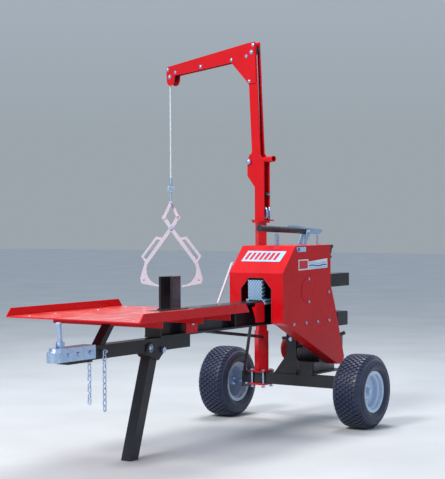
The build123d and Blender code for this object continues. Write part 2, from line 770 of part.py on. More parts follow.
with BuildPart() as crane_arm:
    outer = half_gap + plate_t
    # side plates that lap the mast's head, with the gusset below
    outline = [
        (arm_back, arm_foot), (mast_front, arm_foot), (7, 474), (125, arm_low), (646, arm_low - 6),
        (651, 552), (667, 534), (688, 528), (709, 534), (723, 552), (725, 612), (712, 648),
        (mast_front, arm_head), (arm_back, arm_head),
    ]
    for offset in (outer, -outer - plate_t):
        plate(upper_plane.offset(offset), outline, plate_t)
    plate(
        upper_plane.offset(-outer),
        [(mast_front + 2, 678), (640, 647), (640, 642), (mast_front + 2, 673)],
        2 * outer,
    )
    for x, z in ((119, 606), (396, 606), (636, 604)):
        with BuildSketch(upper_plane.offset(-outer)):
            with Locations((x, z)):
                Circle(7)
        extrude(amount=2 * outer)
finish(crane_arm, "crane_arm")

sheave_r = 26.0
rope_r = 4.5
head_sheave = (-57.0, 626.0)


def sheave_wheel(name, centre):
    """A grooved rope wheel with a pin hole."""
    point = upper_plane.from_local_coords(Vector(centre[0], centre[1], 0))
    section = Plane(origin=point, x_dir=across, z_dir=lean_reach)
    with BuildPart() as wheel_part:
        with BuildSketch(section):
            with BuildLine():
                Polyline(
                    (-10, 6.05), (10, 6.05), (10, sheave_r + 7), (7, sheave_r + 7),
                    (4.8, sheave_r - 4.6), (-4.8, sheave_r - 4.6), (-7, sheave_r + 7),
                    (-10, sheave_r + 7), close=True,
                )
            make_face()
        revolve(axis=Axis(tuple(point), tuple(across)))
    finish(wheel_part, name)


sheave_wheel("tip_sheave", sheave)
sheave_wheel("head_sheave", head_sheave)

with BuildPart() as sheave_pins:
    for x, z in (sheave, head_sheave):
        with BuildSketch(upper_plane.offset(-half_gap - 16)):
            with Locations((x, z)):
                Circle(6)
        extrude(amount=2 * (half_gap + 16))
finish(sheave_pins, "sheave_pins")

# the hoist rope hangs straight down from the outer side of the tip sheave
sheave_point = upper_plane.from_local_coords(Vector(sheave[0], sheave[1], 0))
hang = sheave_point + reach * sheave_r
rope_top = hang.Z
rope_end = 1402.0
with BuildPart() as hoist_rope:
    rod((hang.X, hang.Y, rope_end), (hang.X, hang.Y, rope_top), rope_r)
finish(hoist_rope, "hoist_rope")

with BuildPart() as rope_thimble:
    ring_plane = Plane(origin=(hang.X, hang.Y, 0), x_dir=(-0.5, 0.866, 0), z_dir=(0.866, 0.5, 0))
    rod((hang.X, hang.Y, rope_end - 46), (hang.X, hang.Y, rope_end), 9)
    with BuildSketch(ring_plane.offset(-5)):
        with Locations((0, rope_end - 66)):
            Circle(24)
            Circle(13, mode=Mode.SUBTRACT)
    extrude(amount=10)
    rod((hang.X, hang.Y, 1256), (hang.X, hang.Y, rope_end - 88), 6)
    with BuildSketch(ring_plane.offset(-4)):
        with Locations((0, 1249)):
            Circle(12)
    extrude(amount=8)
finish(rope_thimble, "rope_thimble")

# ---- log tongs ----
tong_z = 1092.0
turn = math.radians(tong_turn)
tong_out = Vector(math.cos(turn), math.sin(turn), 0)
tong_across = Vector(-math.sin(turn), math.cos(turn), 0)
tong_plane = Plane(origin=(hang.X, hang.Y, tong_z), x_dir=tong_across, z_dir=tong_out)
ring_height = 157.0
upper_end = (42.0, 66.0)


def tong_arm(name, side, level):
    """One curved arm: an eye, the crossing, a bowed jaw with a tip, and a hand loop."""
    with BuildPart() as arm:
        with BuildSketch(tong_plane.offset(level)):
            Polygon(
                (-side * 33, 72), (side * 9, 6), (-side * 9, -6), (-side * 51, 60), align=None
            )
            with Locations((-side * upper_end[0], upper_end[1])):
                Circle(14)
            Circle(15)
            with BuildLine():
                Polyline(
                    (side * 68, -352), (side * 66, -366), (side * 188, -342), (side * 195, -312),
                    (side * 165, -206), (side * 9, 6.5), (-side * 9, -6.5), (side * 147, -219),
                )
                Spline(
                    (side * 147, -219), (side * 152, -285), (side * 120, -335), (side * 68, -352)
                )
            make_face()
            Polygon(
                (side * 56, -58), (side * 96, -52), (side * 188, -174), (side * 166, -208),
                (side * 158, -196), (side * 172, -177), (side * 88, -67), (side * 68, -74),
                align=None,
            )
            with Locations((-side * upper_end[0], upper_end[1])):
                Circle(8.5, mode=Mode.SUBTRACT)
            Circle(6.05, mode=Mode.SUBTRACT)
            with Locations((side * 172, -322)):
                Circle(6, mode=Mode.SUBTRACT)
        extrude(amount=tong_t)
    finish(arm, name)


tong_arm("tong_right", 1, 0.3)
tong_arm("tong_left", -1, -tong_t - 0.3)


def tong_link(name, side, level):
    """A short flat link from the ring to the top of an arm, with a pin in the arm's eye."""
    start = Vector(0, ring_height)
    end = Vector(side * upper_end[0], upper_end[1])
    way = (end - start).normalized()
    square = Vector(-way.Y, way.X) * 9
    corners = [start + square, end + square, end - square, start - square]
    with BuildPart() as link:
        with BuildSketch(tong_plane.offset(level)):
            with BuildLine():
                Polyline(*[(c.X, c.Y) for c in corners], close=True)
            make_face()
            for point in (start, end):
                with Locations((point.X, point.Y)):
                    Circle(11)
            with Locations((start.X, start.Y)):
                Circle(5.05, mode=Mode.SUBTRACT)
        extrude(amount=5)
        toward = level + 5 if level < 0 else level
        reach_in = tong_t + 0.8
        with BuildSketch(tong_plane.offset(toward if level < 0 else toward - reach_in)):
            with Locations((end.X, end.Y)):
                Circle(5)
        extrude(amount=reach_in)
    finish(link, name)


tong_link("tong_link_left", -1, tong_t + 1.0)
tong_link("tong_link_right", 1, -tong_t - 6.0)

with BuildPart() as tong_pin:
    with BuildSketch(tong_plane.offset(-tong_t - 9)):
        Circle(6)
    extrude(amount=2 * tong_t + 18)
    for level in (-tong_t - 9, tong_t + 3):
        with BuildSketch(tong_plane.offset(level)):
            RegularPolygon(12, 6)
        extrude(amount=6)
finish(tong_pin, "tong_pin")

with BuildPart() as link_pin:
    with BuildSketch(tong_plane.offset(-tong_t - 12)):
        with Locations((0, ring_height)):
            Circle(5)
    extrude(amount=2 * tong_t + 24)
finish(link_pin, "link_pin")

# ---- chains ----
def chain(name, side, count):
    """Round-wire links hung from the tongue's cross bolt."""
    wire = 3.2
    pitch = 26.0
    top = 549.3
    y = side * 46.0
    with BuildPart() as links:
        for n in range(count):
            centre = Vector(1720, y, top - n * pitch - pitch / 2 + wire)
            flat = Vector(1, 0, 0) if n % 2 == 0 else Vector(0, 1, 0)
            straight = pitch / 2 - 7.5
            path_plane = Plane(origin=centre, x_dir=flat, z_dir=flat.cross(Vector(0, 0, 1)))
            with BuildLine(path_plane) as path:
                Line((8, -straight), (8, straight))
                ThreePointArc((8, straight), (0, straight + 8), (-8, straight))
                Line((-8, straight), (-8, -straight))
                ThreePointArc((-8, -straight), (0, -straight - 8), (8, -straight))
            start = path.edges()[0]
            with BuildSketch(Plane(origin=start @ 0, z_dir=start % 0)):
                Circle(wire)
            sweep(path=path.wires()[0])
    finish(links, name)


chain("chain_right", 1, 11)
chain("chain_left", -1, 10)

# ---- stays, hook bar and fasteners ----
with BuildPart() as frame_stays:
    rod((36, -305, 262), (359, -45, 568), 9)
    rod((30, -186, 474), (800, -30, 568), 9)
finish(frame_stays, "frame_stays")

with BuildPart() as log_hook:
    rod((470, -186, 690), (330, -186, 905), 7)
    rod((330, -186, 905), (300, -186, 885), 7)
    span((318, 334), (-186, -173), (880, 900))
finish(log_hook, "log_hook")

with BuildPart() as frame_bolts:
    for dx in (-41, 41):
        for dy in (-38, 38):
            x, y = dx, post_y + dy
            hex_bolt((x, y, axle_z + tube / 2 + 9), (x, y, axle_z - tube / 2 - 24), 6)
    for x in (1807, 1891, 1958):
        hex_bolt((x, 37, 545), (x, -50, 545), 6)
    hex_bolt((leg_pivot[0], 46, leg_pivot[1]), (leg_pivot[0], -58, leg_pivot[1]), 8)
    hex_bolt((1720, 56, 545), (1720, -64, 545), 4)
    hex_bolt((1047, 59, 632), (1047, -72, 632), 7)
    hex_bolt((32.5, 12, 470), (10, 12, 470), 7)
finish(frame_bolts, "frame_bolts")
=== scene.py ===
import json
import math

import bmesh
import bpy
from mathutils import Matrix, Vector


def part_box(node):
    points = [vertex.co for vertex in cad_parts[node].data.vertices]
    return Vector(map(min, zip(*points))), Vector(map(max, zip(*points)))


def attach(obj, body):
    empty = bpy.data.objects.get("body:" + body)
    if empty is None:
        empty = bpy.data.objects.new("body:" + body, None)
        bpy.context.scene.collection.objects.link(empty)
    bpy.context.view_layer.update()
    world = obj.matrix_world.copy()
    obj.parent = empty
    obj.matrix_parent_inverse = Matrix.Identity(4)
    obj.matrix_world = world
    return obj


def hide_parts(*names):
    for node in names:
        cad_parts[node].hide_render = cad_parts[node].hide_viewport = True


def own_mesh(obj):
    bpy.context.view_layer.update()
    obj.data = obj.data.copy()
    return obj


# Looks of a towable log splitter, built round its CAD frame. Metres.

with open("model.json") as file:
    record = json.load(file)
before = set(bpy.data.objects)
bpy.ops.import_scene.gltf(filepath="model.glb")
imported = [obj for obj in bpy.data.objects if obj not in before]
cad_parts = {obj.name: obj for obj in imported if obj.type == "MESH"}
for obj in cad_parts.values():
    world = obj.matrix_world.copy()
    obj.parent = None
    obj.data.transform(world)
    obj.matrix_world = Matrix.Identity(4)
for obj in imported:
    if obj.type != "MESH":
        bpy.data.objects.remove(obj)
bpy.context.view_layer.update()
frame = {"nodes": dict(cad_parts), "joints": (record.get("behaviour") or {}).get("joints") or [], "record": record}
nodes = frame["nodes"]
joints = {joint["name"]: joint for joint in frame["joints"]}

# ---- camera ----
camera_place = Vector((6.654, 4.135, 1.1744))
camera_yaw = math.radians(-145.266)
camera_pitch = math.radians(-1.032)
camera_roll = math.radians(-0.302)
camera_lens = 103.86

forward = Vector((
    math.cos(camera_yaw) * math.cos(camera_pitch),
    math.sin(camera_yaw) * math.cos(camera_pitch),
    math.sin(camera_pitch),
))
level_right = Vector((math.sin(camera_yaw), -math.cos(camera_yaw), 0))
level_up = level_right.cross(forward)
right = level_right * math.cos(camera_roll) + level_up * math.sin(camera_roll)
up = level_up * math.cos(camera_roll) - level_right * math.sin(camera_roll)
camera_data = bpy.data.cameras.new("camera")
camera_data.lens = camera_lens
camera_data.sensor_width = 36.0
camera_data.clip_end = 100.0
camera = bpy.data.objects.new("camera", camera_data)
bpy.context.scene.collection.objects.link(camera)
turn = Matrix((right, up, -forward)).transposed()
camera.matrix_world = Matrix.Translation(camera_place) @ turn.to_4x4()
bpy.context.scene.camera = camera


# ---- material helpers ----
def new_material(name, colour, roughness, metallic=0.0):
    """A Principled material, with its node tree and shader."""
    material = bpy.data.materials.new(name)
    material.use_nodes = True
    shader = material.node_tree.nodes["Principled BSDF"]
    shader.inputs["Base Color"].default_value = (*colour, 1)
    shader.inputs["Roughness"].default_value = roughness
    shader.inputs["Metallic"].default_value = metallic
    return material, material.node_tree, shader


def object_noise(tree, scale, detail=4.0, stretch=(1, 1, 1)):
    """Noise fixed to the object, finer along an axis with a larger stretch."""
    place = tree.nodes.new("ShaderNodeTexCoord")
    mapping = tree.nodes.new("ShaderNodeMapping")
    mapping.inputs["Scale"].default_value = stretch
    noise = tree.nodes.new("ShaderNodeTexNoise")
    noise.inputs["Scale"].default_value = scale
    noise.inputs["Detail"].default_value = detail
    tree.links.new(place.outputs["Object"], mapping.inputs["Vector"])
    tree.links.new(mapping.outputs["Vector"], noise.inputs["Vector"])
    return noise.outputs["Fac"]


def ramp(tree, value, stops):
    """A colour ramp over a value, from (position, colour) stops."""
    node = tree.nodes.new("ShaderNodeValToRGB")
    elements = node.color_ramp.elements
    while len(elements) < len(stops):
        elements.new(0.5)
    for element, (position, colour) in zip(elements, stops):
        element.position = position
        element.color = (*colour, 1)
    tree.links.new(value, node.inputs["Fac"])
    return node.outputs["Color"]


def spread(tree, value, low, high):
    """A noise value, mostly from 0.3 to 0.7, moved to lie between low and high."""
    node = tree.nodes.new("ShaderNodeMapRange")
    node.inputs["From Min"].default_value = 0.3
    node.inputs["From Max"].default_value = 0.7
    node.inputs["To Min"].default_value = low
    node.inputs["To Max"].default_value = high
    tree.links.new(value, node.inputs["Value"])
    return node.outputs["Result"]


def bump(tree, shader, value, strength, distance):
    """Relief on a shader from a value."""
    node = tree.nodes.new("ShaderNodeBump")
    node.inputs["Strength"].default_value = strength
    node.inputs["Distance"].default_value = distance
    tree.links.new(value, node.inputs["Height"])
    tree.links.new(node.outputs["Normal"], shader.inputs["Normal"])


def scaled(colour, factor):
    """A colour made lighter or darker, with no part above 1."""
    return tuple(min(1.0, part * factor) for part in colour)


def gloss_paint(name, colour, roughness=0.3, coat=0.7, dust=0.12):
    """Powder coat: slight colour drift, orange peel, and faint dusty patches."""
    material, tree, shader = new_material(name, colour, roughness)
    drift = object_noise(tree, 5.0, 6.0)
    stops = [
        (0.3, scaled(colour, 0.92)), (0.55, colour),
        (0.75, tuple(part + (0.5 - part) * dust for part in colour)),
    ]
    tree.links.new(ramp(tree, drift, stops), shader.inputs["Base Color"])
    patches = object_noise(tree, 14.0, 8.0)
    smooth, dull = roughness * 0.75, roughness * 1.45
    tree.links.new(spread(tree, patches, smooth, dull), shader.inputs["Roughness"])
    shader.inputs["Coat Weight"].default_value = coat
    shader.inputs["Coat Roughness"].default_value = 0.10
    shader.inputs["Specular IOR Level"].default_value = 0.22
    bump(tree, shader, object_noise(tree, 420.0, 2.0), 0.05, 0.0003)
    return material


def plated(name, colour, roughness, grain=(1, 1, 1), scale=60.0, relief=0.15):
    """Bare or plated metal: cloudy plating, with grain along a direction."""
    material, tree, shader = new_material(name, colour, roughness, 1.0)
    cloud = object_noise(tree, 30.0, 5.0)
    stops = [(0.3, scaled(colour, 0.88)), (0.5, colour), (0.72, scaled(colour, 1.08))]
    tree.links.new(ramp(tree, cloud, stops), shader.inputs["Base Color"])
    fine = object_noise(tree, scale, 6.0, grain)
    smooth, dull = roughness * 0.7, roughness * 1.4
    tree.links.new(spread(tree, fine, smooth, dull), shader.inputs["Roughness"])
    bump(tree, shader, fine, relief, 0.0006)
    return material


def rubber(name, colour, scale=260.0, relief=0.35, sheen=0.25):
    """Moulded rubber or plastic with fine grain and pale dust in patches."""
    material, tree, shader = new_material(name, colour, 0.5)
    dust = object_noise(tree, 11.0, 7.0)
    stops = [(0.35, colour), (0.6, scaled(colour, 1.35)), (0.8, scaled(colour, 2.1))]
    tree.links.new(ramp(tree, dust, stops), shader.inputs["Base Color"])
    patches = spread(tree, object_noise(tree, 40.0), 0.40, 0.60)
    tree.links.new(patches, shader.inputs["Roughness"])
    shader.inputs["Sheen Weight"].default_value = sheen
    shader.inputs["Sheen Roughness"].default_value = 0.4
    bump(tree, shader, object_noise(tree, scale, 3.0), relief, 0.0005)
    return material


red = gloss_paint("red_paint", (0.56, 0.003, 0.008), 0.3, 0.15, 0.005)
dark_red = gloss_paint("recoil_red", (0.46, 0.012, 0.02), 0.3, 0.6, 0.04)
black = gloss_paint("black_paint", (0.014, 0.015, 0.019), 0.38, 0.35, 0.06)
rim_white = gloss_paint("rim_paint", (0.50, 0.62, 0.78), 0.3, 0.5, 0.03)
white = gloss_paint("white_paint", (0.62, 0.54, 0.61), 0.34, 0.4, 0.04)
zinc = plated("zinc_plate", (0.50, 0.64, 0.86), 0.34, (1, 1, 1), 60.0, 0.06)
steel = plated("ground_steel", (0.55, 0.60, 0.68), 0.34, (1, 14, 1), 45.0, 0.3)
iron = plated("cast_iron", (0.16, 0.16, 0.17), 0.55, (1, 1, 1), 180.0, 0.6)
alloy = plated("cast_alloy", (0.20, 0.19, 0.20), 0.5, (1, 1, 1), 220.0, 0.5)
tyre_rubber = rubber("tyre_rubber", (0.010, 0.017, 0.046))
plastic = rubber("moulded_plastic", (0.012, 0.014, 0.022), 380.0, 0.25, 0.1)
belt_black = rubber("belt_rubber", (0.014, 0.014, 0.015), 200.0, 0.5, 0.2)


def scratched_plate():
    """The push plate's face: pale steel with two crossing sets of milled lines."""
    colour = (0.34, 0.52, 0.80)
    material, tree, shader = new_material("milled_plate", colour, 0.4, 0.35)
    place = tree.nodes.new("ShaderNodeTexCoord")
    lines = []
    for angle in (40, -40):
        mapping = tree.nodes.new("ShaderNodeMapping")
        mapping.inputs["Rotation"].default_value = (math.radians(angle), 0, 0)
        wave = tree.nodes.new("ShaderNodeTexWave")
        wave.bands_direction = "Y"
        wave.inputs["Scale"].default_value = 24.0
        wave.inputs["Distortion"].default_value = 1.2
        tree.links.new(place.outputs["Object"], mapping.inputs["Vector"])
        tree.links.new(mapping.outputs["Vector"], wave.inputs["Vector"])
        lines.append(wave.outputs["Fac"])
    crossing = tree.nodes.new("ShaderNodeMath")
    crossing.operation = "MULTIPLY"
    tree.links.new(lines[0], crossing.inputs[0])
    tree.links.new(lines[1], crossing.inputs[1])
    stops = [(0.02, scaled(colour, 0.25)), (0.2, colour), (0.7, scaled(colour, 1.5))]
    tree.links.new(ramp(tree, crossing.outputs[0], stops), shader.inputs["Base Color"])
    bump(tree, shader, crossing.outputs[0], 0.5, 0.001)
    return material


def rope_material():
    """Pale synthetic fibre with a fine lay of filaments."""
    colour = (0.66, 0.76, 0.86)
    material, tree, shader = new_material("rope_fibre", colour, 0.75)
    fibres = object_noise(tree, 900.0, 3.0, (1, 1, 0.25))
    stops = [(0.3, scaled(colour, 0.6)), (0.55, colour), (0.8, scaled(colour, 1.1))]
    tree.links.new(ramp(tree, fibres, stops), shader.inputs["Base Color"])
    shader.inputs["Sheen Weight"].default_value = 0.4
    bump(tree, shader, fibres, 0.5, 0.0004)
    return material


def printed(name, colour):
    """A vinyl sticker with a slight change of tint."""
    material, tree, shader = new_material(name, colour, 0.35)
    tint = object_noise(tree, 50.0)
    stops = [(0.35, scaled(colour, 0.92)), (0.7, colour)]
    tree.links.new(ramp(tree, tint, stops), shader.inputs["Base Color"])
    shader.inputs["Coat Weight"].default_value = 0.3
    bump(tree, shader, object_noise(tree, 300.0), 0.05, 0.0002)
    return material


def table_reflection_paint():
    """The table's red paint, with long pale streaks of painted sky reflection along it, for its upward faces."""
    colour = (0.60, 0.012, 0.012)
    material, tree, shader = new_material("table_top_painted_reflection", colour, 0.3)
    streaks = object_noise(tree, 9.0, 7.0, (0.6, 9, 1))
    # The pale pink and white stops are painted sky reflection, streaked along the table.
    stops = [(0.42, colour), (0.56, (0.66, 0.05, 0.03)), (0.66, (0.80, 0.30, 0.24)),
             (0.78, (0.86, 0.62, 0.56))]
    tree.links.new(ramp(tree, streaks, stops), shader.inputs["Base Color"])
    tree.links.new(spread(tree, streaks, 0.22, 0.42), shader.inputs["Roughness"])
    shader.inputs["Coat Weight"].default_value = 0.3
    bump(tree, shader, streaks, 0.2, 0.0005)
    return material


plate_face = scratched_plate()
reflection_red = table_reflection_paint()
rope_fibre = rope_material()
vinyl_blue = printed("vinyl_pale_blue", (0.36, 0.62, 0.86))
vinyl_white = printed("vinyl_white", (0.78, 0.80, 0.86))
vinyl_deep = printed("vinyl_deep_blue", (0.03, 0.10, 0.34))
vinyl_red = printed("vinyl_red", (0.62, 0.01, 0.02))

slot_materials = {
    "red_paint": red, "black_paint": black, "tyre_rubber": tyre_rubber,
    "rim_paint": rim_white, "zinc": zinc, "bare_steel": steel, "cast_iron": iron,
    "engine_alloy": alloy, "recoil_red": dark_red, "black_plastic": plastic,
    "belt_rubber": belt_black, "rope_fibre": rope_fibre, "white_paint": white,
}
for part in frame["record"]["subparts"]:
    node = nodes[part["node"]]
    chosen = slot_materials[part["material_slot"]]
    if not node.data.materials:
        node.data.materials.append(chosen)
    for index in range(len(node.data.materials)):
        node.data.materials[index] = chosen
nodes["push_plate"].data.materials[0] = plate_face
table_mesh = nodes["work_table"].data
table_mesh.materials.append(reflection_red)
# The table's flat top lies below this height, and the edges of its lips above it.
lip_start = 0.71
# The flat top's upward faces get the red paint with painted sky reflection.
for face in table_mesh.polygons:
    if face.normal.z > 0.9 and face.center.z < lip_start:
        face.material_index = len(table_mesh.materials) - 1


# ---- mesh helpers ----
def finish_piece(name, mesh_data, material, body, smooth=None):
    """Name a mesh, shade it, and make it ride with a body."""
    mesh = bpy.data.meshes.new(name)
    mesh_data.normal_update()
    mesh_data.to_mesh(mesh)
    mesh_data.free()
    piece = bpy.data.objects.new(name, mesh)
    bpy.context.scene.collection.objects.link(piece)
    mesh.materials.append(material)
    if smooth is not None:
        mesh.shade_smooth()
        mesh.set_sharp_from_angle(angle=math.radians(smooth))
    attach(piece, body)
    return piece


def axis_turn(direction):
    """The rotation that takes +Z to a direction."""
    return Vector(direction).normalized().to_track_quat("Z", "Y").to_matrix().to_4x4()


def add_cylinder(mesh_data, start, end, radius, sides=24, top_radius=None):
    """A closed round or many-sided bar between two points."""
    a, b = Vector(start), Vector(end)
    bmesh.ops.create_cone(
        mesh_data, cap_ends=True, segments=sides, radius1=radius,
        radius2=radius if top_radius is None else top_radius, depth=(b - a).length,
        matrix=Matrix.Translation((a + b) / 2) @ axis_turn(b - a),
    )


def add_box(mesh_data, centre, size, turned=None, bevel=0.0):
    """A box with its edges eased."""
    place = Matrix.Translation(Vector(centre)) @ (turned or Matrix.Identity(4))
    made = bmesh.ops.create_cube(
        mesh_data, size=1, matrix=place @ Matrix.Diagonal((*size, 1))
    )
    if bevel:
        edges = {edge for vertex in made["verts"] for edge in vertex.link_edges}
        bmesh.ops.bevel(
            mesh_data, geom=list(edges), offset=bevel, segments=2, affect="EDGES", profile=0.7
        )


def add_lathe(mesh_data, centre, axis, profile, steps=48):
    """A closed ring swept from (along the axis, radius) points."""
    basis = axis_turn(axis)
    rings = []
    for step in range(steps):
        angle = 2 * math.pi * step / steps
        ring = []
        for along, radius in profile:
            local = Vector((radius * math.cos(angle), radius * math.sin(angle), along))
            ring.append(mesh_data.verts.new(Vector(centre) + basis @ local))
        rings.append(ring)
    count = len(profile)
    for step in range(steps):
        here, there = rings[step], rings[(step + 1) % steps]
        for index in range(count):
            after = (index + 1) % count
            mesh_data.faces.new((here[index], here[after], there[after], there[index]))
    bmesh.ops.recalc_face_normals(mesh_data, faces=mesh_data.faces)


def add_tube(mesh_data, points, radius, sides=10):
    """A closed round tube along a list of points."""
    rings = []
    points = [Vector(point) for point in points]
    side = None
    for index, point in enumerate(points):
        ahead = points[min(index + 1, len(points) - 1)]
        behind = points[max(index - 1, 0)]
        way = (ahead - behind).normalized()
        if side is None:
            side = way.orthogonal().normalized()
        side = (side - way * side.dot(way)).normalized()
        other = way.cross(side)
        ring = []
        for step in range(sides):
            angle = 2 * math.pi * step / sides
            offset = side * math.cos(angle) + other * math.sin(angle)
            ring.append(mesh_data.verts.new(point + offset * radius))
        rings.append(ring)
    for here, there in zip(rings, rings[1:]):
        for step in range(sides):
            after = (step + 1) % sides
            mesh_data.faces.new((here[step], here[after], there[after], there[step]))
    mesh_data.faces.new(list(reversed(rings[0])))
    mesh_data.faces.new(rings[-1])


def add_bolt_head(mesh_data, point, way, radius):
    """A washer, a hexagonal head and its domed top, standing out along a direction."""
    point, way = Vector(point), Vector(way).normalized()
    washer, head, dome = radius * 0.25, radius * 0.75, radius * 0.15
    add_cylinder(mesh_data, point, point + way * washer, radius * 1.35)
    add_cylinder(mesh_data, point + way * washer, point + way * head, radius, 6)
    add_cylinder(
        mesh_data, point + way * head, point + way * (head + dome), radius * 0.85, 24, radius * 0.6
    )


def add_panel(mesh_data, corners, normal, thickness):
    """A thin closed sheet with a given outline, standing out along a normal."""
    lift = Vector(normal).normalized() * thickness
    low = [mesh_data.verts.new(Vector(corner)) for corner in corners]
    high = [mesh_data.verts.new(Vector(corner) + lift) for corner in corners]
    mesh_data.faces.new(list(reversed(low)))
    mesh_data.faces.new(high)
    for index in range(len(corners)):
        after = (index + 1) % len(corners)
        mesh_data.faces.new((low[index], low[after], high[after], high[index]))
    bmesh.ops.recalc_face_normals(mesh_data, faces=mesh_data.faces)


# ---- rope ----
def hoist_rope():
    """Three strands laid round a straight line, from the tip sheave to the thimble."""
    low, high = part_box("hoist_rope")
    hang = Vector(((low.x + high.x) / 2, (low.y + high.y) / 2, high.z))
    diameter = high.x - low.x
    length = high.z - low.z
    strand = diameter / 2 / (1 + 2 / math.sqrt(3))
    lay_radius = strand * 2 / math.sqrt(3)
    lay_pitch = diameter * 4.2
    rings_per_turn = 14
    rings = int(length / lay_pitch * rings_per_turn)
    mesh_data = bmesh.new()
    for number in range(3):
        points = []
        for step in range(rings + 1):
            drop = length * step / rings
            angle = 2 * math.pi * (drop / lay_pitch + number / 3)
            points.append(hang + Vector((
                lay_radius * math.cos(angle), lay_radius * math.sin(angle), -drop
            )))
        add_tube(mesh_data, points, strand, 8)
    rope = finish_piece("laid_rope", mesh_data, rope_fibre, "rope_hang", 80)
    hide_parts("hoist_rope")
    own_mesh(rope)


hoist_rope()


# ---- wheels ----
def tyre(side):
    """A turf tyre: carcass, staggered rows of tread blocks, and sidewall rings."""
    low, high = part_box(f"tyre_{side}")
    centre = (low + high) / 2
    outer = (high.z - low.z) / 2
    half = (high.y - low.y) / 2
    block = 0.0075
    carcass = outer - block
    bead = 0.1017
    shoulder = half - 0.020
    crown, edge_drop, edge_start = 0.0035, 0.010, 0.86

    def section(s):
        """Distance across and radius of the carcass at s, from -1 to 1 over the tread."""
        across = s * shoulder
        drop = crown * s * s + edge_drop * max(0.0, abs(s) - edge_start) / 0.14
        return across, carcass - drop

    profile = [section(-1 + step / 10) for step in range(21)]
    wall = [
        (shoulder + 0.012, carcass - 0.023), (half - 0.003, outer - 0.051),
        (half, outer - 0.063), (half - 0.006, outer - 0.080),
        (half - 0.018, bead + 0.015), (half - 0.021, bead + 0.011), (half - 0.021, bead),
    ]
    profile = profile + wall + [(-across, radius) for across, radius in reversed(wall)]
    mesh_data = bmesh.new()
    add_lathe(mesh_data, centre, (0, 1, 0), profile, 96)

    def tread_block(middle, turn_angle, width, length, relief):
        """One block with sloped sides, standing on the carcass."""
        corners = []
        sunk, taper = -0.001, 0.76
        for level, shrink in ((sunk, 1.0), (relief, taper)):
            for ds, dt in ((-1, -1), (1, -1), (1, 1), (-1, 1)):
                across, radius = section(middle + ds * width / 2 / shoulder * shrink)
                angle = turn_angle + dt * length / 2 / outer * shrink
                radius = min(radius + level, outer)
                corners.append(mesh_data.verts.new(centre + Vector((
                    radius * math.cos(angle), across, radius * math.sin(angle)
                ))))
        sides = [(0, 1, 5, 4), (1, 2, 6, 5), (2, 3, 7, 6), (3, 0, 4, 7)]
        for face in [(4, 5, 6, 7), *sides, (3, 2, 1, 0)]:
            mesh_data.faces.new([corners[index] for index in face])

    rows, around, last_row = 7, 48, 0.78
    for row in range(rows):
        middle = -last_row + 2 * last_row * row / (rows - 1)
        for step in range(around):
            stagger = 0.5 * (row % 2)
            angle = 2 * math.pi * (step + stagger) / around
            tread_block(middle, angle, 0.0205, 0.0180, block)
    for edge in (-1, 1):
        for step in range(around):
            angle = 2 * math.pi * (step + 0.25) / around
            tread_block(edge * 0.985, angle, 0.012, 0.014, block * 0.95)
    rib = 0.002
    for edge in (-1, 1):
        for radius, thick, inset in ((outer - 0.045, 0.0012, 0.0), (bead + 0.022, 0.0016, 0.010)):
            across = edge * (half - 0.0035 - inset)
            ring = [
                (across - thick, radius - rib), (across + thick, radius - rib),
                (across + thick, radius + rib), (across - thick, radius + rib),
            ]
            add_lathe(mesh_data, centre, (0, 1, 0), ring, 96)
    piece = finish_piece(
        f"turf_tyre_{side}", mesh_data, tyre_rubber, f"wheel_{side}", 32
    )
    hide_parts(f"tyre_{side}")


def wheel_trim(side, way):
    """The dished disc's pressed rings, the valve and the hub's weld."""
    low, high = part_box(f"rim_{side}")
    centre = (low + high) / 2
    body = f"wheel_{side}"
    disc = centre.y + way * 0.0245
    mesh_data = bmesh.new()
    sunk, proud = -0.0015, 0.0018
    for radius, width in ((0.071, 0.004), (0.084, 0.003)):
        ring = [(sunk, radius - width), (proud, radius - width * 0.4),
                (proud, radius + width * 0.4), (sunk, radius + width)]
        add_lathe(mesh_data, Vector((centre.x, disc, centre.z)), (0, way, 0), ring, 72)
    finish_piece(f"disc_ribs_{side}", mesh_data, rim_white, body, 50)
    mesh_data = bmesh.new()
    stem = Vector((centre.x + 0.062, disc, centre.z + 0.026))
    cap, cap_end = stem + Vector((0, way * 0.020, 0)), stem + Vector((0, way * 0.034, 0))
    add_cylinder(mesh_data, stem, stem + Vector((0, way * 0.026, 0)), 0.0042, 16)
    add_cylinder(mesh_data, cap, cap_end, 0.0054, 12, 0.0046)
    finish_piece(f"valve_{side}", mesh_data, plastic, body, 40)
    mesh_data = bmesh.new()
    hub = centre.y + way * 0.0335
    bead = [(-0.002, 0.0205), (0.0022, 0.0215), (0.0005, 0.0250), (-0.002, 0.0255)]
    add_lathe(mesh_data, Vector((centre.x, hub, centre.z)), (0, way, 0), bead, 48)
    finish_piece(f"hub_weld_{side}", mesh_data, steel, body, 60)


for side, way in (("left", -1), ("right", 1)):
    tyre(side)
    wheel_trim(side, way)


# ---- hood graphics and fittings ----
hood_low, hood_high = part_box("hood_shell")
side_face = hood_high.y
film = 0.0006
film_gap = 0.0002
slope_top = Vector((0.242, 0, hood_high.z))
slope_foot = Vector((0.373, 0, 0.855))
slope_normal = Vector((slope_top.z - slope_foot.z, 0, slope_foot.x - slope_top.x)).normalized()


def on_slope(share, y):
    """A point on the hood's sloping front, share of the way down it."""
    point = slope_top.lerp(slope_foot, share)
    return Vector((point.x, y, point.z)) + slope_normal * film_gap


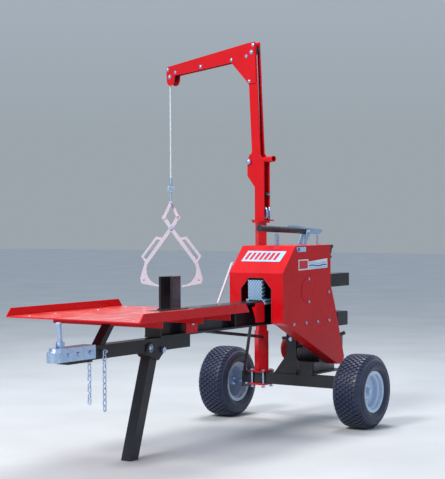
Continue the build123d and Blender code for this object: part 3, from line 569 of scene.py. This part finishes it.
def slope_graphics():
    """A pale slanted panel with plain slanted bars, and a small red tab."""
    top, foot, lean = 0.20, 0.58, 0.014
    left, right_edge = -0.118, 0.132
    mesh_data = bmesh.new()
    corners = [
        on_slope(top, left), on_slope(top, right_edge), on_slope(foot, right_edge - lean),
        on_slope(foot, left - lean),
    ]
    add_panel(mesh_data, corners, slope_normal, film)
    finish_piece("slope_panel", mesh_data, vinyl_blue, "frame")
    mesh_data = bmesh.new()
    bars, first_bar, bar_step, width, margin = 7, -0.104, 0.031, 0.019, 0.06
    for number in range(bars):
        start = first_bar + bar_step * number
        corners = [
            on_slope(top + margin, start), on_slope(top + margin, start + width),
            on_slope(foot - margin, start + width - lean), on_slope(foot - margin, start - lean),
        ]
        raised = [corner + slope_normal * film for corner in corners]
        add_panel(mesh_data, raised, slope_normal, film)
    finish_piece("slope_bars", mesh_data, vinyl_red, "frame")
    mesh_data = bmesh.new()
    corners = [
        on_slope(0.02, 0.04), on_slope(0.02, 0.085), on_slope(0.13, 0.085), on_slope(0.13, 0.04),
    ]
    add_panel(mesh_data, corners, slope_normal, film)
    finish_piece("slope_tab", mesh_data, vinyl_red, "frame")


def side_shape(name, outline, material, level):
    """A flat sticker on the hood's right side, from (X, Z) points."""
    mesh_data = bmesh.new()
    corners = [Vector((x, side_face + film_gap + film * level, z)) for x, z in outline]
    add_panel(mesh_data, corners, (0, 1, 0), film)
    finish_piece(name, mesh_data, material, "frame")


def side_graphics():
    """A small pale label, and a plain design of a box with three waves beside it."""
    label = [(0.232, 0.994), (0.134, 0.994), (0.134, 0.968), (0.216, 0.968)]
    field = [(0.222, 0.990), (0.196, 0.990), (0.196, 0.972), (0.213, 0.972)]
    border = [(0.212, 0.925), (0.110, 0.925), (0.106, 0.912), (-0.098, 0.925), (-0.098, 0.872),
              (0.212, 0.866)]
    box = [(0.205, 0.919), (0.116, 0.919), (0.116, 0.875), (0.205, 0.873)]
    side_shape("side_label", label, vinyl_blue, 0)
    side_shape("side_label_field", field, vinyl_deep, 1)
    side_shape("side_badge", border, vinyl_white, 0)
    side_shape("side_badge_box", box, vinyl_red, 1)
    steps, wave_start, wave_run, wave_height, band = 14, 0.104, 0.192, 0.003, 0.007
    for number in range(3):
        rise = 0.879 + 0.013 * number
        wave = []
        for step in range(steps + 1):
            share = step / steps
            wave.append((wave_start - wave_run * share, rise + wave_height * math.sin(9 * share)))
        lower = [(x, z - band) for x, z in reversed(wave)]
        tint = vinyl_deep if number % 2 else vinyl_blue
        side_shape(f"side_badge_wave_{number + 1}", wave + lower, tint, 1)


def hood_latch():
    """The rubber draw latch at the hood's top rear corner, with its hook."""
    x, y = -0.135, 0.150
    mesh_data = bmesh.new()
    add_box(mesh_data, (x - 0.026, y, 0.990), (0.050, 0.024, 0.020), bevel=0.004)
    strap = [(x - 0.040, y, 0.986), (x - 0.036, y, 0.962), (x - 0.022, y, 0.942)]
    hook = [(x - 0.022, y, 0.944), (x - 0.034, y, 0.934), (x - 0.044, y, 0.930)]
    add_tube(mesh_data, strap, 0.0085)
    add_tube(mesh_data, hook, 0.0065)
    finish_piece("hood_latch", mesh_data, plastic, "frame", 50)


def hood_seams():
    """The spot welds where the hood's sheets meet, and the beading round its opening."""
    mesh_data = bmesh.new()
    spot = [(-0.0005, 0.0035), (0.0004, 0.0035), (0.0004, 0.0052), (-0.0005, 0.0052)]
    for y in (-0.150, 0.150):
        for z in (0.640, 0.700, 0.760):
            add_lathe(mesh_data, (hood_high.x, y, z), (1, 0, 0), spot, 16)
    for x in (-0.11, 0.01, 0.13, 0.21):
        add_lathe(mesh_data, (x, hood_low.y, 0.975), (0, -1, 0), spot, 16)
    finish_piece("spot_welds", mesh_data, red, "frame", 40)
    door = [(-0.098, 0.590), (-0.098, 0.770), (-0.046, 0.829), (0.046, 0.829), (0.098, 0.770),
            (0.098, 0.590)]
    mesh_data = bmesh.new()
    points = [(hood_high.x - 0.002, y, z) for y, z in door]
    for start, end in zip(points, points[1:]):
        add_cylinder(mesh_data, start, end, 0.0022, 10)
    finish_piece("door_beading", mesh_data, plastic, "frame", 40)


slope_graphics()
side_graphics()
hood_latch()
hood_seams()


# ---- engine details ----
def engine_details():
    """Starter vents and handle, crankcase fins, muffler and guard, spark lead, and ribs."""
    recoil_low, recoil_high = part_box("recoil_cover")
    middle = (recoil_low + recoil_high) / 2
    nose = recoil_low.y
    mesh_data = bmesh.new()
    vents, vent_radius = 18, 0.0735
    for step in range(vents):
        angle = 2 * math.pi * step / vents
        spoke = Vector((math.cos(angle), 0, math.sin(angle)))
        start = Vector((middle.x, nose + 0.0315, middle.z)) + spoke * vent_radius
        vent = start + spoke * 0.008 + Vector((0, -0.001, 0))
        turned = Matrix.Rotation(-angle, 4, "Y")
        add_box(mesh_data, vent, (0.012, 0.003, 0.0045), turned, 0.001)
    finish_piece("starter_vents", mesh_data, plastic, "frame", 40)
    mesh_data = bmesh.new()
    fins, first_fin, fin_step = 7, -0.030, 0.016
    fin = [(-0.002, 0.080), (0.002, 0.080), (0.0015, 0.0865), (-0.0015, 0.0865)]
    for number in range(fins):
        place = Vector((middle.x, first_fin + fin_step * number, middle.z))
        add_lathe(mesh_data, place, (0, 1, 0), fin, 64)
    finish_piece("crankcase_fins", mesh_data, alloy, "frame", 40)
    mesh_data = bmesh.new()
    grip = Vector((middle.x + 0.062, nose + 0.040, middle.z + 0.062))
    add_box(mesh_data, grip, (0.018, 0.058, 0.016), Matrix.Rotation(-0.7, 4, "Y"), 0.005)
    finish_piece("starter_handle", mesh_data, plastic, "frame", 50)
    mesh_data = bmesh.new()
    add_box(mesh_data, (-0.395, 0.030, 0.430), (0.090, 0.096, 0.082), bevel=0.010)
    add_cylinder(mesh_data, (-0.415, 0.070, 0.462), (-0.430, 0.098, 0.478), 0.011, 20)
    finish_piece("muffler", mesh_data, iron, "frame", 45)
    mesh_data = bmesh.new()
    slats, first_slat, slat_step = 6, -0.008, 0.015
    for number in range(slats):
        place = (-0.4425, first_slat + slat_step * number, 0.430)
        add_box(mesh_data, place, (0.003, 0.009, 0.066), bevel=0.001)
    finish_piece("muffler_guard", mesh_data, black, "frame", 40)
    mesh_data = bmesh.new()
    lead = [(-0.355, -0.030, 0.500), (-0.372, -0.045, 0.512), (-0.380, -0.060, 0.500),
            (-0.360, -0.070, 0.470), (-0.330, -0.072, 0.445), (-0.300, -0.066, 0.430)]
    add_tube(mesh_data, lead, 0.0035)
    boot = Vector(lead[0]) + Vector((-0.016, -0.012, 0.010))
    add_cylinder(mesh_data, lead[0], boot, 0.0075, 16, 0.006)
    finish_piece("spark_lead", mesh_data, plastic, "frame", 60)
    mesh_data = bmesh.new()
    tank_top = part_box("fuel_tank")[1].z
    ridges, cap_x, cap_y, cap_radius = 20, -0.240, -0.086, 0.0222
    half_ridge = Vector((0, 0, 0.006))
    for step in range(ridges):
        angle = 2 * math.pi * step / ridges
        place = Vector((
            cap_x + cap_radius * math.cos(angle), cap_y + cap_radius * math.sin(angle),
            tank_top - 0.007,
        ))
        add_cylinder(mesh_data, place - half_ridge, place + half_ridge, 0.0016, 8)
    finish_piece("fuel_cap_grip", mesh_data, plastic, "frame", 40)
    box_low, box_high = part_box("air_cleaner")
    mesh_data = bmesh.new()
    ribs, rib_step = 4, 0.022
    for number in range(ribs):
        x = box_low.x + 0.024 + rib_step * number
        place = (x, (box_low.y + box_high.y) / 2, box_high.z - 0.0003)
        add_box(mesh_data, place, (0.006, 0.070, 0.0014), bevel=0.0005)
    finish_piece("air_cleaner_ribs", mesh_data, plastic, "frame", 40)


engine_details()


# ---- crane details ----
swivel_pin = Vector(joints["crane_swivel"]["pos_m"])
fold_pin = Vector(joints["crane_fold"]["pos_m"])
tip_pin = Vector(joints["tip_sheave_turn"]["pos_m"])
head_pin = Vector(joints["head_sheave_turn"]["pos_m"])
arm_azimuth = math.radians(-104)
reach = Vector((math.cos(arm_azimuth), math.sin(arm_azimuth), 0))
near = Vector((-math.sin(arm_azimuth), math.cos(arm_azimuth), 0))
mast_lean = math.radians(3.3)
lean_reach = reach * math.cos(mast_lean) - Vector((0, 0, 1)) * math.sin(mast_lean)
lean_up = lean_reach.cross(near)
arm_face = 0.023
fold_face = 0.0295


def on_upper(x, y, side=1, lift=0.0):
    """A point of the upper mast and arm: along the arm, up the mast, out of a face."""
    return fold_pin + lean_reach * x + lean_up * y + near * side * (arm_face + lift)


def crane_bolts():
    """Heads of the arm's bolts, the sheaves' pins and the fold pin, on both faces."""
    mesh_data = bmesh.new()
    spots = [(0.708, 0.630), (0.636, 0.604), (0.396, 0.606), (0.119, 0.606), (-0.012, 0.608),
             (-0.027, 0.462), (-0.072, 0.666)]
    for x, y in spots:
        for side in (-1, 1):
            add_bolt_head(mesh_data, on_upper(x, y, side), near * side, 0.0085)
    finish_piece("arm_bolt_heads", mesh_data, zinc, "crane_upper", 30)
    mesh_data = bmesh.new()
    for pin in (tip_pin, head_pin):
        for side in (-1, 1):
            add_bolt_head(mesh_data, pin + near * side * (arm_face + film_gap), near * side, 0.0105)
    finish_piece("sheave_bolt_heads", mesh_data, zinc, "crane_upper", 30)
    mesh_data = bmesh.new()
    for side in (-1, 1):
        add_bolt_head(mesh_data, fold_pin + near * side * fold_face, near * side, 0.013)
    finish_piece("fold_bolt_heads", mesh_data, zinc, "crane_lower", 30)


def crane_fittings():
    """The plastic lock pin through the lower mast, and the oval plated catch at its foot."""
    spot = swivel_pin + reach * -0.036 + Vector((0, 0, 0.152))
    mesh_data = bmesh.new()
    add_cylinder(mesh_data, spot, spot - reach * 0.030, 0.009, 20)
    add_cylinder(mesh_data, spot - reach * 0.024, spot - reach * 0.030, 0.0115, 20)
    finish_piece("mast_lock_pin", mesh_data, plastic, "crane_lower", 40)
    mesh_data = bmesh.new()
    add_cylinder(mesh_data, spot - reach * 0.030, spot - reach * 0.040, 0.006, 20, 0.0045)
    finish_piece("mast_lock_pin_tip", mesh_data, zinc, "crane_lower", 40)
    mesh_data = bmesh.new()
    foot = swivel_pin + reach * -0.052 + Vector((0, 0, 0.012))
    tall, wide = 0.066, 0.026
    points = []
    steps = 24
    for step in range(steps + 1):
        angle = 2 * math.pi * step / steps
        points.append(foot + Vector((0, 0, tall / 2)) + reach * (wide / 2 * math.cos(angle))
                      + Vector((0, 0, tall / 2 * math.sin(angle))))
    for level in (-0.012, 0.012):
        add_tube(mesh_data, [point + near * level for point in points], 0.0035, 8)
    add_box(mesh_data, foot + Vector((0, 0, tall / 2)), (0.010, 0.020, tall * 0.8), bevel=0.003)
    finish_piece("mast_catch", mesh_data, zinc, "crane_lower", 50)


def weld(name, points, radius, body, material):
    """A rippled weld bead along straight runs between points."""
    mesh_data = bmesh.new()
    for start, end in zip(points, points[1:]):
        a, b = Vector(start), Vector(end)
        steps = max(2, int((b - a).length / (radius * 1.1)))
        for step in range(steps + 1):
            bmesh.ops.create_uvsphere(
                mesh_data, u_segments=8, v_segments=5, radius=radius,
                matrix=Matrix.Translation(a.lerp(b, step / steps)),
            )
    finish_piece(name, mesh_data, material, body, 60)


def crane_rope_run():
    """The rope between the crane's plates: over the tip sheave, along to the head, and down."""
    groove, narrowed = 0.0285, 0.6
    points = []
    for step in range(7):
        angle = math.radians(15 * step)
        points.append(tip_pin + lean_reach * groove * math.cos(angle)
                      + lean_up * groove * math.sin(angle))
    for step in range(7):
        angle = math.radians(90 + 15 * step)
        points.append(head_pin + lean_reach * groove * math.cos(angle) * narrowed
                      + lean_up * groove * math.sin(angle))
    points.append(fold_pin + lean_reach * -0.066 + lean_up * 0.10)
    mesh_data = bmesh.new()
    add_tube(mesh_data, points, 0.0045, 12)
    finish_piece("inner_rope", mesh_data, rope_fibre, "crane_upper", 60)


crane_bolts()
crane_fittings()
crane_rope_run()
seam_height, seam_depth = 0.4455, -0.004
for face, word in ((1, "near"), (-1, "far")):
    seam = [on_upper(along, seam_height, face, seam_depth) for along in (-0.082, -0.019)]
    weld(f"arm_foot_weld_{word}", seam, 0.0024, "crane_upper", red)


# ---- beam, wedge and table details ----
beam_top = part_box("main_beam")[1].z
wedge_low, wedge_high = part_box("wedge")
seam_height = beam_top + 0.0045
for side, word in ((-1, "left"), (1, "right")):
    seam = [(wedge_low.x + 0.012, side * 0.007, seam_height),
            (wedge_high.x - 0.010, side * 0.0435, seam_height)]
    weld(f"wedge_weld_{word}", seam, 0.003, "frame", black)
axle_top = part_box("axle_tube")[1].z
riser_foot = 0.0335
weld("riser_weld", [(riser_foot, -0.098, axle_top + 0.001), (riser_foot, 0.042, axle_top + 0.001)],
     0.0028, "frame", black)


def table_details():
    """Countersunk screws along both sides of the table."""
    table_face, screw_line = 0.703, 0.31
    head = [(-0.001, 0.0), (0.0008, 0.0001), (0.0008, 0.0065), (-0.001, 0.0085)]
    mesh_data = bmesh.new()
    for side in (-1, 1):
        for x in (1.12, 1.34, 1.66, 1.84):
            add_lathe(mesh_data, (x, side * screw_line, table_face), (0, 0, 1), head, 24)
    finish_piece("table_screws", mesh_data, zinc, "frame", 40)


def tongue_details():
    """The wire keeper of the leg's lock pin."""
    mesh_data = bmesh.new()
    pivot = Vector(joints["leg_swing"]["pos_m"])
    loop = []
    for step in range(13):
        angle = math.radians(20 + 25 * step)
        loop.append(pivot + Vector((
            0.098 + 0.014 * math.cos(angle), 0.0475, 0.015 + 0.018 * math.sin(angle)
        )))
    add_tube(mesh_data, loop, 0.0016, 8)
    finish_piece("lock_pin_keeper", mesh_data, zinc, "leg", 60)


def lever_details():
    """Ridges on the control lever's grip and the plated heads of its pivot."""
    start, end = Vector((-0.060, 0, 1.082)), Vector((0.330, 0, 1.098))
    mesh_data = bmesh.new()
    way = (end - start).normalized()
    ridges, first_ridge, ridge_step = 16, 0.205, 0.008
    ridge = [(-0.002, 0.0165), (0, 0.0178), (0.002, 0.0165)]
    for number in range(ridges):
        middle = start + way * (first_ridge + ridge_step * number)
        add_lathe(mesh_data, middle, way, ridge, 32)
    finish_piece("grip_ridges", mesh_data, plastic, "lever", 60)
    mesh_data = bmesh.new()
    pivot = Vector(joints["lever_lift"]["pos_m"])
    for side in (-1, 1):
        add_bolt_head(mesh_data, pivot + Vector((0, side * 0.0172, 0)), (0, side, 0), 0.0075)
    finish_piece("lever_pivot_heads", mesh_data, zinc, "frame", 30)


table_details()
tongue_details()
lever_details()


# ---- stage and light ----
def stage():
    """A pale floor and soft studio light."""
    floor_level = -0.0005
    bpy.ops.mesh.primitive_plane_add(size=60, location=(0, 0, floor_level))
    floor = bpy.context.object
    floor.name = "floor"
    material, tree, shader = new_material("floor_paper", (0.46, 0.48, 0.49), 0.85)
    stops = [(0.3, (0.43, 0.45, 0.46)), (0.7, (0.49, 0.51, 0.52))]
    tree.links.new(ramp(tree, object_noise(tree, 1.5), stops), shader.inputs["Base Color"])
    floor.data.materials.append(material)
    world = bpy.data.worlds.new("studio")
    world.use_nodes = True
    tree = world.node_tree
    sky = tree.nodes["Background"]
    place = tree.nodes.new("ShaderNodeTexCoord")
    split = tree.nodes.new("ShaderNodeSeparateXYZ")
    tree.links.new(place.outputs["Generated"], split.inputs["Vector"])
    stops = [(0.06, (0.37, 0.42, 0.46)), (0.4, (0.52, 0.62, 0.78)), (1.0, (0.80, 0.90, 1.0))]
    tree.links.new(ramp(tree, split.outputs["Z"], stops), sky.inputs["Color"])
    sky.inputs["Strength"].default_value = 0.9
    bpy.context.scene.world = world
    target = Vector((0.6, 0, 0.8))
    for name, place, size, power, tint in (
        ("key", (6.2, -0.6, 5.6), 1.8, 520, (1.0, 0.96, 0.93)),
        ("top", (-1.2, -0.8, 5.4), 2.6, 230, (1.0, 0.96, 0.98)),
        ("side", (1.5, 6.0, 2.2), 3.0, 22, (0.78, 0.87, 1.0)),
    ):
        light = bpy.data.lights.new(name, "AREA")
        light.shape = "DISK"
        light.size = size
        light.energy = power
        light.color = tint
        lamp = bpy.data.objects.new(name, light)
        bpy.context.scene.collection.objects.link(lamp)
        aim = target - Vector(place)
        lamp.matrix_world = Matrix.Translation(Vector(place)) @ (
            aim.to_track_quat("-Z", "Y").to_matrix().to_4x4()
        )


stage()
bpy.context.scene.view_settings.view_transform = "Standard"
